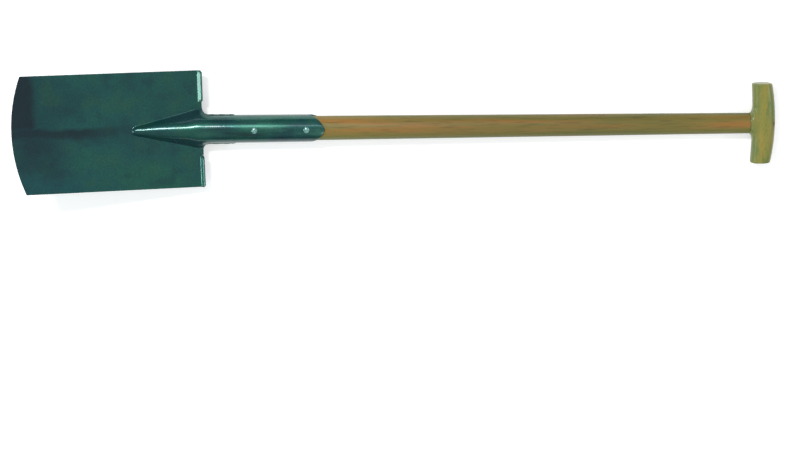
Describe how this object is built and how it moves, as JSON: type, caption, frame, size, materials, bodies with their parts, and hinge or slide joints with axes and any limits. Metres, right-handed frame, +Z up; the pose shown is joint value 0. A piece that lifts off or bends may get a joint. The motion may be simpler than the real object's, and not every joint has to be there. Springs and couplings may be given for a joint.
{
  "type": "digging spade",
  "caption": "Flat-bladed garden digging spade with folded treads, a strapped and riveted socket, a tapered wooden shaft and a T grip.",
  "frame": {"origin": "bottom centre of the bounding box: the spade lies on its back on the floor at Z = 0", "axes": "+X along the shaft from the cutting edge to the grip, +Y across the blade to its left side as seen from the grip with the front up, +Z up, out of the blade's front"},
  "size_m": [1.1548, 0.1812, 0.0847],
  "materials": {
    "blade_lacquer": "satin dark blue-green lacquer on steel sheet",
    "rivet_lacquer": "glossy dark green lacquer on steel rivets",
    "shaft_wood": "sanded and lightly oiled ash",
    "grip_wood": "sanded and clear lacquered turned wood",
    "wedge_wood": "sawn hardwood"
  },
  "bodies": {
    "root": {"blade": "blade_lacquer", "rear_strap": "blade_lacquer", "left_weld": "blade_lacquer", "right_weld": "blade_lacquer", "lower_rivet": "rivet_lacquer", "upper_rivet": "rivet_lacquer", "shaft": "shaft_wood", "t_grip": "grip_wood", "grip_wedge": "wedge_wood"}
  },
  "joints": []
}
